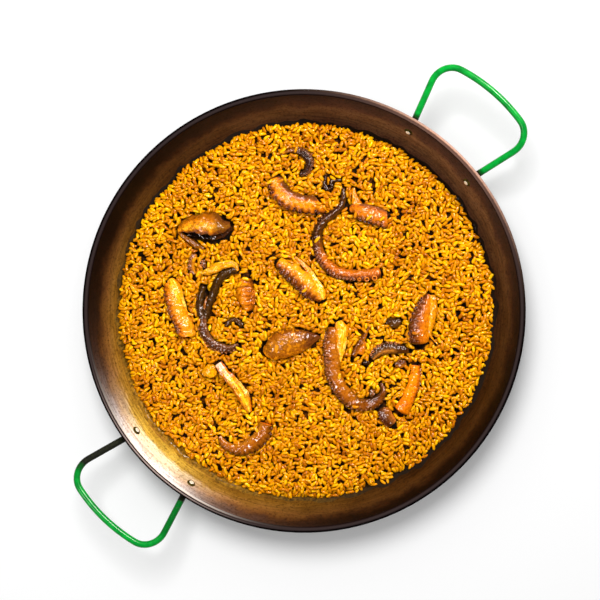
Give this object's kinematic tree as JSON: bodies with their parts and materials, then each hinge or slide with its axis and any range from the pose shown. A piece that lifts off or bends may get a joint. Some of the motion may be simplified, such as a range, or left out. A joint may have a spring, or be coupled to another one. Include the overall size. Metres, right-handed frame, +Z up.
{
  "type": "rice with octopus",
  "caption": "Wide shallow steel pan with two wire handles, filled with a thin layer of saffron rice and pieces of cooked octopus.",
  "frame": {"origin": "centre of the pan's underside", "axes": "+Z up, +X through the middle of one handle, +Y along the rim between the handles"},
  "size_m": [0.6004, 0.46, 0.0631],
  "materials": {
    "pan_steel": "seasoned and browned",
    "handle_enamel": "gloss",
    "rivet_steel": "satin",
    "rice": "moist, in grains",
    "octopus": "wet and glossy"
  },
  "bodies": {
    "root": {"pan": "pan_steel", "handle_right": "handle_enamel", "handle_left": "handle_enamel", "rivet_right_one": "rivet_steel", "rivet_right_two": "rivet_steel", "rivet_left_one": "rivet_steel", "rivet_left_two": "rivet_steel", "rice": "rice", "arm_arc_low": "octopus", "arm_arch": "octopus", "arm_chunk_buried": "octopus", "arm_chunk_centre": "octopus", "arm_chunk_forked": "octopus", "arm_chunk_left": "octopus", "arm_chunk_right": "octopus", "arm_chunk_top": "octopus", "arm_long_hook": "octopus", "arm_long_s": "octopus", "arm_pair_left": "octopus", "arm_scrap_left": "octopus", "arm_scrap_mid": "octopus", "arm_scrap_right": "octopus", "arm_strip_pale": "octopus", "arm_strip_right": "octopus", "arm_stub": "octopus", "arm_tip_curl": "octopus", "arm_tip_hook": "octopus", "arm_tip_knot": "octopus", "flesh_disc": "octopus", "mantle_fold": "octopus", "mantle_wedge": "octopus", "sucker_scrap_left": "octopus", "sucker_scrap_low": "octopus", "sucker_scrap_right": "octopus", "web_flap": "octopus"}
  },
  "joints": []
}
